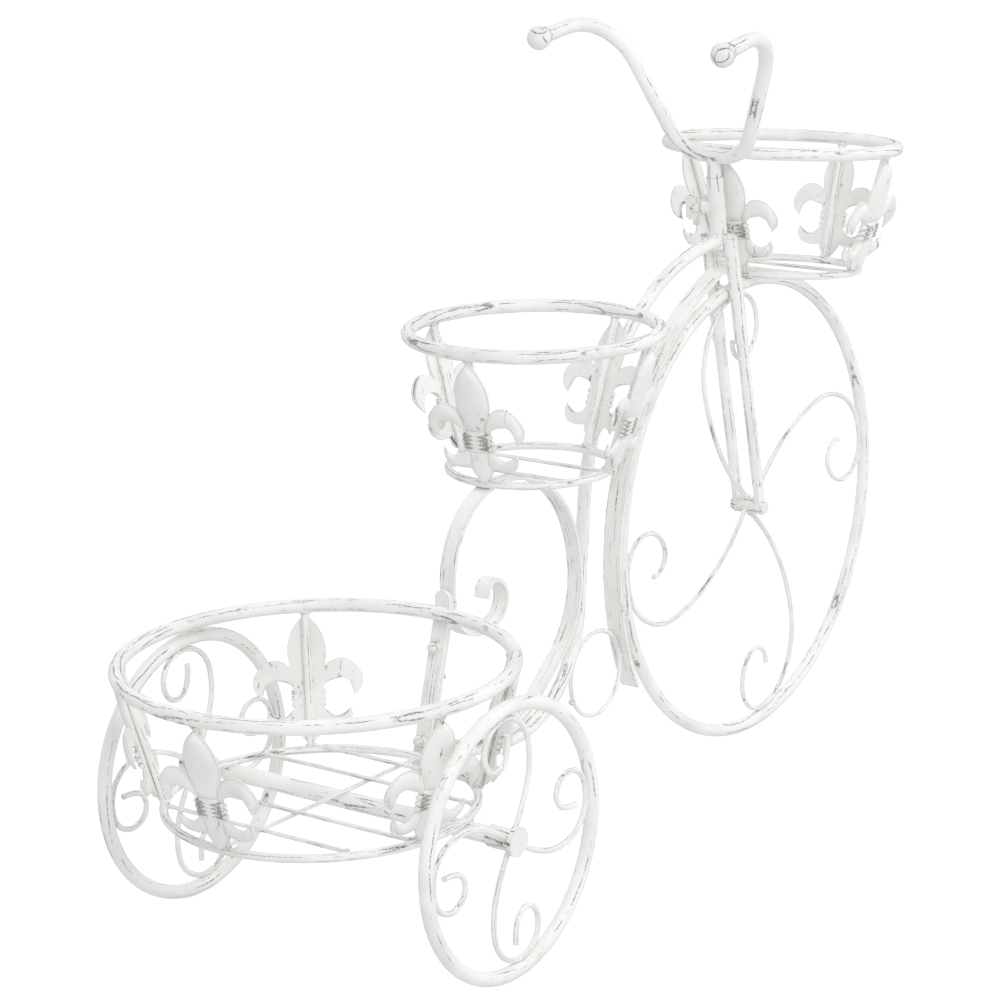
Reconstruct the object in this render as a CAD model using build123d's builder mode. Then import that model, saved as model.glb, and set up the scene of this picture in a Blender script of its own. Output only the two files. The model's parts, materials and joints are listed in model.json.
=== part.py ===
from build123d import *
from math import acos, asin, atan2, cos, degrees, hypot, radians, sin, sqrt, tan
import os

# Tricycle plant stand of bent iron tube, wire and strip.
# Millimetres and degrees. +X runs forward to the big wheel, +Y to the stand's left, +Z up.
# The origin is on the floor, in the middle of the stand's length and width.

os.makedirs("parts", exist_ok=True)

# Tube, wire and strip
rim_tube = 10.0
backbone_tube_size = 10.0
spoke_wire = 4.0
post_wire = 6.0
grid_wire = 3.0
brace_wire = 3.5
strip_width = 12.0
strip_thickness = 3.0
fender_width = 15.0
fender_thickness = 3.0

# Welds: how far a welded piece melts into its neighbour
weld_sink = 0.3
end_sink = 1.2

# Wheels, to the middle of the rim tube
front_rim_radius = 180.0
rear_rim_radius = 91.0
wheelbase = 510.0
track = 272.8
floor_flat = 0.3

# Front hub and fork
front_hub_size = 12.0
front_pin_size = 6.0
front_pin_fit = 0.05
front_pin_head_size = 10.0
front_pin_head_height = 2.5
fork_leg_size = 10.8
fork_blade_size = 9.0
fork_blade_fit = 0.05
fork_blade_exposed = 140.0
fork_blade_insert = 18.0
blade_eye_size = 12.0
blade_flat_length = 20.0
blade_flat_thickness = 4.0
crown_above_foot = 5.0
leg_above_crown = 4.0

# Head tube, stem and handlebar
rake = 7.5
head_foot_behind_hub = 42.7
head_foot_height = 398.0
head_length = 55.5
head_tube_size = 13.0
stem_size = 11.0
running_clearance = 0.05
stem_length = 46.0
stem_seam = 0.3
neck_insert = 3.0
bar_above_head = 16.6
grip_ball_size = 18.0
grip_ball_sink = 5.0
bar_turn = 4.5
bar_bottom_half = 29.0
shoulder_back = 29.0
shoulder_out = 77.5
shoulder_up = 106.0
grip_back = 98.0
grip_out = 84.2
grip_up = 93.2
bar_bottom_radius = 30.0
bar_shoulder_radius = 50.0

# Wing screw and its boss on the head tube
screw_above_foot = 32.0
screw_swing = 67.0
screw_size = 5.0
boss_size = 9.5
boss_reach = 11.5
screw_tip_gap = 0.1
screw_collar_size = 7.5
screw_collar_start = 13.0
screw_collar_end = 18.0
wing_size = 9.0
wing_spread = 5.2
wing_centre_reach = 19.5
wing_thickness = 2.4

# Baskets
basket_depth = 96.5
rear_top_radius = 131.0
rear_bottom_radius = 104.3
small_top_radius = 88.8
small_bottom_radius = 58.5
top_ring_tube = 10.0
bottom_ring_wire = 6.0
rear_basket_back = 27.0
axle_sink = 1.1
middle_basket_ahead = 20.0
middle_top_shift = 6.5
front_basket_tilt = 4.3
front_ring_behind_hub = 8.0
front_top_shift = -9.5
rear_fleur_angles = (43.0, 124.0, 184.0, 256.0, 315.0)
middle_fleur_angles = (353.0, 91.0, 185.0, 280.0)
front_fleur_angles = (358.0, 88.0, 182.0, 275.0)
rear_grid = (-67.0, -29.0, 47.0, 81.0)
small_grid = (-21.0, 16.0)
small_wire_height = -1.0

# Fleur-de-lis plates
fleur_height = 90.0
fleur_width = 77.0
fleur_thickness = 1.5
fleur_top_gap = 6.5
waist_bead = 3.4
waist_bead_pitch = 4.2

# Axle of the two small wheels
axle_tube_size = 12.0
axle_rod_size = 8.0
hub_sleeve_size = 15.0
hub_inboard = 16.5
hub_outboard = 2.6
hub_end_gap = 0.3
axle_cap_size = 20.0
axle_cap_thickness = 3.0
axle_cap_pocket = 1.5

# Backbone tube: corners of its path, from the big wheel's hub
shoulder_behind_hub = 210.0
shoulder_height = 395.7
shoulder_radius = 185.0
heel_behind_hub = 246.6
heel_height = 73.3
heel_radius = 84.0
foot_height = 98.5

# Loop strip
loop_top_height = 278.5
loop_corner_height = 167.2
loop_left_radius = 61.0
loop_right_radius = 88.0
loop_low_radius = 72.0
loop_top_corner_in = 23.6
loop_low_corner_out = 8.9
loop_low_corner_height = 157.5
loop_tail_start = 74.0
loop_tail_end = 138.0
loop_tail_radius = 60.0
loop_scroll_radius = 31.4
scroll_width = 63.7
scroll_inner_radius = 15.0
scroll_tip_radius = 8.2

# Fender strip, measured outward from the rim tube to the strip's middle
fender_top_gap = 16.3
fender_middle_gap = 6.6
fender_middle_angle = 178.5
fender_foot_gap = 12.8
fender_foot_angle = 211.0
lug_share = 0.83
lug_length = 8.0
lug_width = 10.0

# Small brace ring between the backbone and the fender, to the middle of its wire
brace_radius = 32.0

# Scrolled spokes, as drawn for a wheel whose spokes reach this far: radius and turn of each bend
rear_spoke_drawn = 82.7
rear_spoke_start = (1.0, 2.1)
rear_spoke_heading = 55.6
rear_spoke_straight = 5.0
rear_spoke_bends = ((120, 15), (50, 33), (26, 105), (17, 100), (11, 122), (34, 25))
front_spoke_drawn = 172.8
front_spoke_start = (3.6, 2.4)
front_spoke_heading = 143.0
front_spoke_straight = 6.0
front_spoke_bends = ((169, -40), (60, -52), (47.5, -50), (26.3, -154.6), (14.5, -124.5))
spokes_per_wheel = 4

# Bolted joints between the cart and the frame
bolt_size = 5.0
bolt_hole_clearance = 0.3
bolt_head_size = 9.0
bolt_head_height = 3.0
nut_across = 8.0
nut_height = 4.0
nut_dome = 4.0
upper_bolt_height = 176.0
lower_bolt_height = 113.5
cart_bar_top = 215.0
cart_bar_foot = 92.0
cart_bar_bend = 25.0
upper_tongue_top = 212.0
upper_tongue_foot = 140.0
lower_tongue_top = 124.0

# Sizes that follow
rim_r = rim_tube / 2
front_reach = front_rim_radius + rim_r
rear_reach = rear_basket_back + rear_top_radius + top_ring_tube / 2
rear_axle_x = -(wheelbase + front_reach - rear_reach) / 2
front_axle_x = rear_axle_x + wheelbase
front_axle_z = front_reach - floor_flat
rear_axle_z = rear_rim_radius + rim_r
front_hub = Vector(front_axle_x, 0, front_axle_z)
side_plane = Plane.XZ
fork_half = rim_r + fork_leg_size / 2 - weld_sink


def save(builder, name):
    """Label a finished piece and write it."""
    builder.part.label = name
    export_step(builder.part, f"parts/{name}.step")


def round_rod(path, size):
    """A round rod bent along a path."""
    with BuildPart() as rod:
        with BuildSketch(Plane(origin=path @ 0, z_dir=path % 0)):
            Circle(size / 2)
        sweep(path=path)
    return rod.part


def flat_strip(path, width, thickness):
    """A flat strip bent along a path in the side plane, its width across the stand."""
    with BuildPart() as strip:
        with BuildSketch(Plane(origin=path @ 0, x_dir=(0, 1, 0), z_dir=path % 0)):
            Rectangle(width, thickness)
        sweep(path=path)
    return strip.part


def straight_rod(start, end, size):
    """A straight round rod between two points."""
    run = end - start
    with BuildPart() as rod:
        with BuildSketch(Plane(origin=start, z_dir=run)):
            Circle(size / 2)
        extrude(amount=run.length)
    return rod.part


def on_front_wheel(distance, angle):
    """Side-plane point at a distance and angle from the big wheel's hub."""
    across = distance * cos(radians(angle))
    return (front_axle_x + across, front_axle_z + distance * sin(radians(angle)))


def level_plane(x, z):
    """A ring's plane that lies level at a height."""
    return Plane(origin=(x, 0, z), x_dir=(1, 0, 0), z_dir=(0, 0, 1))


# The rear basket's bottom ring is welded on the axle tube, under its two rings stands the bar
rear_ring_z = rear_axle_z + axle_tube_size / 2 + bottom_ring_wire / 2 - axle_sink
rear_basket_x = rear_axle_x - rear_basket_back
rear_bottom_plane = level_plane(rear_basket_x, rear_ring_z)
rear_top_plane = level_plane(rear_basket_x, rear_ring_z + basket_depth)
bottom_front_x = rear_basket_x + rear_bottom_radius
top_front_x = rear_basket_x + rear_top_radius
ring_run = hypot(top_front_x - bottom_front_x, basket_depth)
rings_up = atan2(basket_depth, top_front_x - bottom_front_x)
bar_lean = rings_up - acos((bottom_ring_wire - top_ring_tube) / 2 / ring_run)
bar_out = Vector(cos(bar_lean), 0, sin(bar_lean))
bar_rise = Vector(-sin(bar_lean), 0, cos(bar_lean))
bar_reach = bottom_ring_wire / 2 - weld_sink
bar_touch = Vector(bottom_front_x, 0, rear_ring_z) + bar_out * bar_reach


def on_bar(height, out):
    """Side-plane point at a height, this far out from the bar's basket side."""
    base = bar_touch + bar_out * out
    return (base.X + (height - base.Z) * bar_rise.X / bar_rise.Z, height)


bar_middle = strip_thickness / 2
tongue_middle = bar_middle + strip_thickness
tongue_front = 2 * strip_thickness
bar_bend_height = rear_ring_z + basket_depth + 2.0
upright_x = on_bar(bar_bend_height, bar_middle)[0]
tongue_upright_x = upright_x + strip_thickness
loop_left_x = tongue_upright_x + strip_thickness - weld_sink

# Steering axis, and the cutter that hollows welded ends to fit round the head tube
head_foot = Vector(front_axle_x - head_foot_behind_hub, 0, head_foot_height)
head_up = Vector(-sin(radians(rake)), 0, cos(radians(rake)))
crown = head_foot + head_up * crown_above_foot
head_core = straight_rod(
    head_foot - head_up * head_length,
    head_foot + head_up * 2 * head_length,
    head_tube_size - 2 * weld_sink,
)

# Backbone: from the head tube over the shoulder, down and back to the cart's foot
shoulder = (front_axle_x - shoulder_behind_hub, shoulder_height)
heel = (front_axle_x - heel_behind_hub, heel_height)
foot = (on_bar(foot_height, tongue_front)[0] - end_sink, foot_height)
with BuildLine(side_plane) as backbone_path:
    FilletPolyline(
        (crown.X, crown.Z),
        shoulder,
        heel,
        foot,
        radius=[shoulder_radius, heel_radius],
    )
with BuildPart() as backbone_tube:
    add(round_rod(backbone_path.wire(), backbone_tube_size))
    add(head_core, mode=Mode.SUBTRACT)
save(backbone_tube, "backbone_tube")


def backbone_x(height):
    """Where the line from shoulder to heel is at a height."""
    share = (height - heel[1]) / (shoulder[1] - heel[1])
    return heel[0] + share * (shoulder[0] - heel[0])


# Loop strip: scroll, left side, arch under the middle basket, right side, tail on the backbone
tail_run = hypot(heel[0] - foot[0], heel[1] - foot[1])
tail_x = (foot[0] - heel[0]) / tail_run
tail_z = (foot[1] - heel[1]) / tail_run
tail_lift = backbone_tube_size / 2 + strip_thickness / 2 - weld_sink
loop_touch = backbone_tube_size / 2 + strip_thickness / 2


def on_tail(along):
    """Side-plane point of the strip where it lies on the backbone's foot."""
    x = heel[0] + along * tail_x + tail_lift * tail_z
    return (x, heel[1] + along * tail_z - tail_lift * tail_x)


arch_corner = (backbone_x(loop_top_height) - loop_touch - loop_top_corner_in, loop_top_height)
low_corner = (
    backbone_x(loop_low_corner_height) - loop_touch + loop_low_corner_out,
    loop_low_corner_height,
)
with BuildLine(side_plane) as loop_path:
    FilletPolyline(
        (loop_left_x + scroll_width - 24.5, loop_corner_height + 30.8),
        (loop_left_x + scroll_width - 21.8, loop_corner_height + 44.9),
        (loop_left_x + scroll_width, loop_corner_height + 37.6),
        (loop_left_x + scroll_width - 4.5, loop_corner_height + 13.8),
        (loop_left_x, loop_corner_height),
        (loop_left_x, loop_top_height),
        arch_corner,
        low_corner,
        on_tail(loop_tail_start),
        on_tail(loop_tail_end),
        radius=[
            scroll_tip_radius,
            scroll_inner_radius,
            scroll_inner_radius,
            loop_scroll_radius,
            loop_left_radius,
            loop_right_radius,
            loop_low_radius,
            loop_tail_radius,
        ],
    )
with BuildPart() as loop_strip:
    add(flat_strip(loop_path.wire(), strip_width, strip_thickness))
save(loop_strip, "loop_strip")
arch_turn = atan2(arch_corner[1] - low_corner[1], low_corner[0] - arch_corner[0])
arch_start_x = arch_corner[0] - loop_right_radius * tan(arch_turn / 2)


def arch_height(x):
    """Height of the strip's upper face just ahead of the arch's crest."""
    ahead = max(0, x - arch_start_x)
    crest = loop_top_height + strip_thickness / 2
    return crest - loop_right_radius + sqrt(loop_right_radius**2 - ahead**2)


# Bolted joints: bar, tongues, bolts and cap nuts
bolt_hole = bolt_size + bolt_hole_clearance


def bolt_plane(height, out):
    """Plane across a bolt's axis, this far out from the bar's basket side."""
    x, z = on_bar(height, 0)
    return Plane(origin=Vector(x, 0, z) + bar_out * out, x_dir=(0, 1, 0), z_dir=bar_out)


with BuildLine(side_plane) as bar_path:
    FilletPolyline(
        on_bar(cart_bar_foot, bar_middle),
        (upright_x, bar_bend_height),
        (upright_x, cart_bar_top),
        radius=cart_bar_bend,
    )
with BuildPart() as cart_bar:
    add(flat_strip(bar_path.wire(), strip_width, strip_thickness))
    fillet(cart_bar.edges().filter_by(Axis.X).group_by(Axis.Z)[-1], strip_width * 0.46)
    for bolt_height in (upper_bolt_height, lower_bolt_height):
        with BuildSketch(bolt_plane(bolt_height, -strip_thickness)):
            Circle(bolt_hole / 2)
        extrude(amount=3 * strip_thickness, mode=Mode.SUBTRACT)
save(cart_bar, "cart_bar")

tongue_shift = tongue_upright_x - on_bar(bar_bend_height, tongue_middle)[0]
tongue_bend_height = bar_bend_height + tongue_shift * bar_rise.Z / bar_rise.X
with BuildLine(side_plane) as tongue_path:
    FilletPolyline(
        on_bar(upper_tongue_foot, tongue_middle),
        (tongue_upright_x, tongue_bend_height),
        (tongue_upright_x, upper_tongue_top),
        radius=cart_bar_bend + strip_thickness,
    )
with BuildPart() as upper_tongue:
    add(flat_strip(tongue_path.wire(), strip_width, strip_thickness))
    with BuildSketch(bolt_plane(upper_bolt_height, 0)):
        Circle(bolt_hole / 2)
    extrude(amount=3 * strip_thickness, mode=Mode.SUBTRACT)
save(upper_tongue, "upper_tongue")

with BuildLine(side_plane) as low_tongue_path:
    Line(on_bar(cart_bar_foot, tongue_middle), on_bar(lower_tongue_top, tongue_middle))
with BuildPart() as lower_tongue:
    add(flat_strip(low_tongue_path.wire(), strip_width, strip_thickness))
    with BuildSketch(bolt_plane(lower_bolt_height, 0)):
        Circle(bolt_hole / 2)
    extrude(amount=3 * strip_thickness, mode=Mode.SUBTRACT)
save(lower_tongue, "lower_tongue")

joint_heights = (lower_bolt_height, upper_bolt_height)
with BuildPart() as joint_bolts:
    for bolt_height in joint_heights:
        with BuildSketch(bolt_plane(bolt_height, tongue_front)):
            Circle(bolt_head_size / 2)
        extrude(amount=bolt_head_height)
        with BuildSketch(bolt_plane(bolt_height, -nut_height)):
            Circle(bolt_size / 2)
        extrude(amount=nut_height + tongue_front)
    rims = joint_bolts.edges().filter_by(GeomType.CIRCLE)
    heads = [e for e in rims if abs(e.radius - bolt_head_size / 2) < 0.01]
    outer = [e for e in heads if (e.arc_center - bar_touch).dot(bar_out) > tongue_front + 1]
    fillet(outer, bolt_head_height * 0.6)
save(joint_bolts, "joint_bolts")

with BuildPart() as cap_nuts:
    for bolt_height in joint_heights:
        with BuildSketch(bolt_plane(bolt_height, -nut_height)):
            RegularPolygon(nut_across / 2, 6, major_radius=False)
            Circle(bolt_size / 2, mode=Mode.SUBTRACT)
        extrude(amount=nut_height)
        with BuildSketch(bolt_plane(bolt_height, -nut_height - nut_dome)):
            Circle(nut_across / 2 - 0.4)
        extrude(amount=nut_dome)
    rims = cap_nuts.edges().filter_by(GeomType.CIRCLE)
    caps = [e for e in rims if (e.arc_center - bar_touch).dot(bar_out) < -nut_height - 1]
    fillet(caps, nut_across / 2 - 0.6)
save(cap_nuts, "cap_nuts")

# Big wheel: rim with a worn flat on the floor, four scrolled spokes, hub and its pin
across_plane = Plane(origin=front_hub, x_dir=(1, 0, 0), z_dir=(0, 1, 0))
with BuildPart(across_plane) as front_rim:
    Torus(front_rim_radius, rim_r)
    split(bisect_by=Plane.XY, keep=Keep.TOP)
save(front_rim, "front_rim")

blade_inner = fork_half - blade_flat_thickness / 2
blade_outer = fork_half + blade_flat_thickness / 2
with BuildPart(across_plane) as front_hub_barrel:
    Cylinder(front_hub_size / 2, 2 * blade_inner)
    Cylinder(front_pin_size / 2 + front_pin_fit, 2 * blade_inner, mode=Mode.SUBTRACT)
save(front_hub_barrel, "front_hub")

with BuildPart(across_plane) as front_pin:
    Cylinder(front_pin_size / 2, 2 * blade_outer + front_pin_head_height)
    for side in (1, -1):
        head_middle = side * (blade_outer + front_pin_head_height / 2)
        with Locations((0, 0, head_middle)):
            Cylinder(front_pin_head_size / 2, front_pin_head_height)
save(front_pin, "front_hub_pin")


def scroll_spoke(start, heading, straight, bends, share, hub_radius):
    """One scrolled wire about a hub at the origin, trimmed where it meets the hub."""
    run = straight * share
    turn = radians(heading)
    first = (start[0] * share, start[1] * share)
    second = (first[0] + run * cos(turn), first[1] + run * sin(turn))
    with BuildLine(side_plane) as path:
        bend = Line(first, second)
        for radius, sweep_angle in bends:
            bend = JernArc(bend @ 1, bend % 1, radius * share, sweep_angle)
    with BuildPart() as spoke:
        add(round_rod(path.wire(), spoke_wire))
        with BuildSketch(side_plane.offset(-spoke_wire)):
            Circle(hub_radius - weld_sink)
        extrude(amount=2 * spoke_wire, mode=Mode.SUBTRACT)
    return spoke.part


def wheel_spokes(spoke, hub):
    """Copies of a spoke spread evenly round a hub."""
    with BuildPart() as spokes:
        for count in range(spokes_per_wheel):
            turned = spoke.rotate(Axis.Y, count * 360 / spokes_per_wheel)
            add(turned.moved(Location(hub)))
    return spokes.part


front_spoke_reach = front_rim_radius - rim_r - spoke_wire / 2 + weld_sink
front_spoke = scroll_spoke(
    front_spoke_start,
    front_spoke_heading,
    front_spoke_straight,
    front_spoke_bends,
    front_spoke_reach / front_spoke_drawn,
    front_hub_size / 2,
)
with BuildPart() as front_spokes:
    add(wheel_spokes(front_spoke, front_hub))
save(front_spokes, "front_spokes")

# Fork: two legs from the head tube to the big wheel's hub, each with a blade in its foot
crown_to_hub = Vector(crown.X, 0, crown.Z) - front_hub
leg_up = crown_to_hub.normalized()
leg_angle = degrees(atan2(leg_up.Z, leg_up.X))
leg_bottom = fork_blade_exposed
leg_top = crown_to_hub.length + leg_above_crown
for side, side_name in ((1, "left"), (-1, "right")):
    leg_foot = Vector(front_axle_x, side * fork_half, front_axle_z)
    with BuildPart() as fork_leg:
        add(straight_rod(leg_foot + leg_up * leg_bottom, leg_foot + leg_up * leg_top, fork_leg_size))
        socket_end = leg_foot + leg_up * (leg_bottom + fork_blade_insert)
        socket_size = fork_blade_size + 2 * fork_blade_fit
        add(straight_rod(leg_foot + leg_up * leg_bottom, socket_end, socket_size), mode=Mode.SUBTRACT)
        add(head_core, mode=Mode.SUBTRACT)
    save(fork_leg, f"fork_leg_{side_name}")

    eye_plane = Plane(origin=leg_foot, x_dir=leg_up, z_dir=(0, -1, 0))
    with BuildPart() as fork_blade:
        add(straight_rod(leg_foot + leg_up * blade_flat_length, socket_end, fork_blade_size))
        with BuildSketch(eye_plane.offset(-blade_flat_thickness / 2)):
            Circle(blade_eye_size / 2)
            with Locations((blade_flat_length / 2, 0)):
                Rectangle(blade_flat_length + blade_eye_size / 2, fork_blade_size)
            Circle(front_pin_size / 2 + front_pin_fit, mode=Mode.SUBTRACT)
        extrude(amount=blade_flat_thickness)
    save(fork_blade, f"fork_blade_{side_name}")

# Fender strip behind the big wheel, its lug on the rim and the small brace ring
fender_distance = front_reach + fender_top_gap
fender_overlap = degrees(asin((fork_leg_size / 2 - end_sink) / fender_distance))
with BuildLine(side_plane) as fender_path:
    ThreePointArc(
        on_front_wheel(fender_distance, leg_angle + fender_overlap),
        on_front_wheel(front_reach + fender_middle_gap, fender_middle_angle),
        on_front_wheel(front_reach + fender_foot_gap, fender_foot_angle),
    )
fender_line = fender_path.wire()
with BuildPart() as fender_strip:
    add(flat_strip(fender_line, fender_width, fender_thickness))
save(fender_strip, "fender_strip")

lug_point = fender_line @ lug_share
lug_out = lug_point - front_hub
lug_start = front_reach - weld_sink
lug_end = lug_out.length - fender_thickness / 2 + weld_sink
lug_plane = Plane(
    origin=front_hub + lug_out.normalized() * lug_start, x_dir=(0, 1, 0), z_dir=lug_out
)
with BuildPart() as fender_lug:
    with BuildSketch(lug_plane):
        Rectangle(lug_width, lug_length)
    extrude(amount=lug_end - lug_start)
save(fender_lug, "fender_lug")

# The brace ring rests on the backbone's heel bend and on the back of the fender
heel_bend = backbone_path.edges().filter_by(GeomType.CIRCLE).sort_by(Axis.Z)[0]
fender_bend = fender_path.edges()[0]
wire_in = brace_radius + brace_wire / 2 - weld_sink
heel_reach = heel_bend.radius + backbone_tube_size / 2 + wire_in
fender_reach = fender_bend.radius + fender_thickness / 2 + wire_in
bend_run = fender_bend.arc_center - heel_bend.arc_center
along = (bend_run.length**2 + heel_reach**2 - fender_reach**2) / (2 * bend_run.length)
below = sqrt(heel_reach**2 - along**2)
bend_dir = bend_run.normalized()
bend_down = Vector(bend_dir.Z, 0, -bend_dir.X)
brace_centre = heel_bend.arc_center + bend_dir * along + bend_down * below
with BuildPart(Plane(origin=brace_centre, x_dir=(1, 0, 0), z_dir=(0, 1, 0))) as brace_ring:
    Torus(brace_radius, brace_wire / 2)
save(brace_ring, "brace_ring")

# Head tube with the wing screw's boss
screw_out = Vector(-cos(radians(screw_swing)), sin(radians(screw_swing)), 0)
screw_out = (screw_out - head_up * screw_out.dot(head_up)).normalized()
screw_root = head_foot + head_up * screw_above_foot
thread_hole = screw_size + 2 * running_clearance


def screw_plane(out):
    """Plane across the wing screw's axis, this far out from the steering axis."""
    return Plane(origin=screw_root + screw_out * out, x_dir=head_up, z_dir=screw_out)


def head_section(height):
    """Plane across the steering axis at a height above the head tube's foot."""
    return Plane(origin=head_foot + head_up * height, x_dir=(0, 1, 0), z_dir=head_up)


head_bore = stem_size + 2 * running_clearance
with BuildPart() as head_tube:
    with BuildSketch(head_section(0)):
        Circle(head_tube_size / 2)
        Circle(head_bore / 2, mode=Mode.SUBTRACT)
    extrude(amount=head_length)
    with BuildSketch(screw_plane(0)):
        Circle(thread_hole / 2)
    extrude(amount=head_tube_size, mode=Mode.SUBTRACT)
save(head_tube, "head_tube")

with BuildPart() as clamp_boss:
    with BuildSketch(screw_plane(0)):
        Circle(boss_size / 2)
        Circle(thread_hole / 2, mode=Mode.SUBTRACT)
    extrude(amount=boss_reach)
    add(head_core, mode=Mode.SUBTRACT)
save(clamp_boss, "clamp_boss")

with BuildPart() as wing_screw:
    with BuildSketch(screw_plane(stem_size / 2 + screw_tip_gap)):
        Circle(screw_size / 2)
    extrude(amount=screw_collar_end - stem_size / 2 - screw_tip_gap)
    with BuildSketch(screw_plane(screw_collar_start)):
        Circle(screw_collar_size / 2)
    extrude(amount=screw_collar_end - screw_collar_start)
    wing_plane = Plane(
        origin=screw_root + screw_out * wing_centre_reach,
        x_dir=head_up,
        z_dir=screw_out.cross(head_up),
    )
    with BuildSketch(wing_plane.offset(-wing_thickness / 2)):
        with Locations((wing_spread, 0), (-wing_spread, 0)):
            Circle(wing_size / 2)
        with Locations((0, screw_collar_end - wing_centre_reach - 1)):
            Rectangle(2 * wing_spread, 3)
    extrude(amount=wing_thickness)
save(wing_screw, "wing_screw")

# Stem inside the head tube, and the handlebar whose neck turns above it
stem_top = head_length - neck_insert - stem_seam
with BuildPart() as stem:
    with BuildSketch(head_section(stem_top - stem_length)):
        Circle(stem_size / 2)
    extrude(amount=stem_length)
save(stem, "stem")

bar_height = head_length + bar_above_head
bar_middle_point = head_foot + head_up * bar_height
steering_axis = Axis(head_foot, head_up)


def bar_point(back, out, up):
    """Point of the handlebar, measured from the middle of its low bend."""
    return bar_middle_point + Vector(-back, out, up)


with BuildLine() as bar_line:
    FilletPolyline(
        bar_point(grip_back, grip_out, grip_up),
        bar_point(shoulder_back, shoulder_out, shoulder_up),
        bar_point(0, bar_bottom_half, 0),
        bar_point(0, -bar_bottom_half, 0),
        bar_point(shoulder_back, -shoulder_out, shoulder_up),
        bar_point(grip_back, -grip_out, grip_up),
        radius=[bar_shoulder_radius, bar_bottom_radius, bar_bottom_radius, bar_shoulder_radius],
    )
handlebar_wire = bar_line.wire()
with BuildPart() as straight_bar:
    add(round_rod(handlebar_wire, stem_size))
    with BuildSketch(head_section(head_length - neck_insert)):
        Circle(stem_size / 2)
    extrude(amount=bar_above_head + neck_insert)
with BuildPart() as handlebar:
    add(straight_bar.part.rotate(steering_axis, -bar_turn))
save(handlebar, "handlebar")



def grip_ball(end, inward):
    """A ball with a pocket for the bar, at the bar's end."""
    centre = end - inward * (grip_ball_size / 2 - grip_ball_sink)
    with BuildPart() as ball:
        with Locations(Plane(origin=centre, z_dir=inward)):
            Sphere(grip_ball_size / 2)
        with BuildSketch(Plane(origin=end, z_dir=inward)):
            Circle(stem_size / 2)
        extrude(amount=grip_ball_size, mode=Mode.SUBTRACT)
    return ball.part


with BuildPart() as straight_balls:
    add(grip_ball(handlebar_wire @ 0, handlebar_wire % 0))
    add(grip_ball(handlebar_wire @ 1, handlebar_wire % 1 * -1))
with BuildPart() as handlebar_balls:
    add(straight_balls.part.rotate(steering_axis, -bar_turn))
save(handlebar_balls, "handlebar_balls")

# Axle of the small wheels: tube under the basket, rod through it, cap on each end
middle_axle = Vector(rear_axle_x, 0, rear_axle_z)
axle_plane = Plane(origin=middle_axle, x_dir=(1, 0, 0), z_dir=(0, 1, 0))
sleeve_inner = track / 2 - hub_inboard
sleeve_outer = track / 2 + hub_outboard
axle_tube_half = sleeve_inner - hub_end_gap
cap_inner = sleeve_outer + hub_end_gap
with BuildPart(axle_plane) as axle_tube:
    Cylinder(axle_tube_size / 2, 2 * axle_tube_half)
    Cylinder(axle_rod_size / 2, 2 * axle_tube_half, mode=Mode.SUBTRACT)
save(axle_tube, "axle_tube")

with BuildPart(axle_plane) as axle_rod:
    Cylinder(axle_rod_size / 2, 2 * (cap_inner + axle_cap_pocket))
save(axle_rod, "axle_rod")

with BuildPart() as axle_caps:
    for side in (1, -1):
        inner_face = Plane(
            origin=middle_axle + Vector(0, side * cap_inner, 0), x_dir=(1, 0, 0), z_dir=(0, side, 0)
        )
        with BuildSketch(inner_face):
            Circle(axle_cap_size / 2)
        extrude(amount=axle_cap_thickness)
        with BuildSketch(inner_face):
            Circle(axle_rod_size / 2)
        extrude(amount=axle_cap_pocket, mode=Mode.SUBTRACT)
save(axle_caps, "axle_caps")

# Small wheels: rim, scrolled spokes and the sleeve that turns on the rod
rear_spoke_reach = rear_rim_radius - rim_r - spoke_wire / 2 + weld_sink
rear_spoke = scroll_spoke(
    rear_spoke_start,
    rear_spoke_heading,
    rear_spoke_straight,
    rear_spoke_bends,
    rear_spoke_reach / rear_spoke_drawn,
    hub_sleeve_size / 2,
)
for side, side_name in ((1, "left"), (-1, "right")):
    hub = middle_axle + Vector(0, side * track / 2, 0)
    with BuildPart(Plane(origin=hub, x_dir=(1, 0, 0), z_dir=(0, 1, 0))) as rear_rim:
        Torus(rear_rim_radius, rim_r)
    save(rear_rim, f"rear_{side_name}_rim")

    with BuildPart() as rear_spokes:
        add(wheel_spokes(rear_spoke, hub))
    save(rear_spokes, f"rear_{side_name}_spokes")

    sleeve_end = middle_axle + Vector(0, side * sleeve_inner, 0)
    with BuildPart() as rear_hub:
        with BuildSketch(Plane(origin=sleeve_end, x_dir=(1, 0, 0), z_dir=(0, side, 0))):
            Circle(hub_sleeve_size / 2)
            Circle(axle_rod_size / 2 + running_clearance, mode=Mode.SUBTRACT)
        extrude(amount=sleeve_outer - sleeve_inner)
    save(rear_hub, f"rear_{side_name}_hub")


# Baskets: two rings, leaning posts, fleur plates on the posts and a floor of wires
def ring_point(plane, radius, angle):
    """Point on a ring's middle line."""
    turn = radians(angle)
    return plane.from_local_coords(Vector(radius * cos(turn), radius * sin(turn), 0))


def ring_piece(plane, radius, size, name):
    """A ring of round wire in its plane."""
    with BuildPart(plane) as ring:
        Torus(radius, size / 2)
    save(ring, name)


def fleur(u, v):
    """Point of the fleur's outline: u across and v down, as shares of half width and height."""
    return (u * fleur_width / 2, -v * fleur_height)


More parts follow.
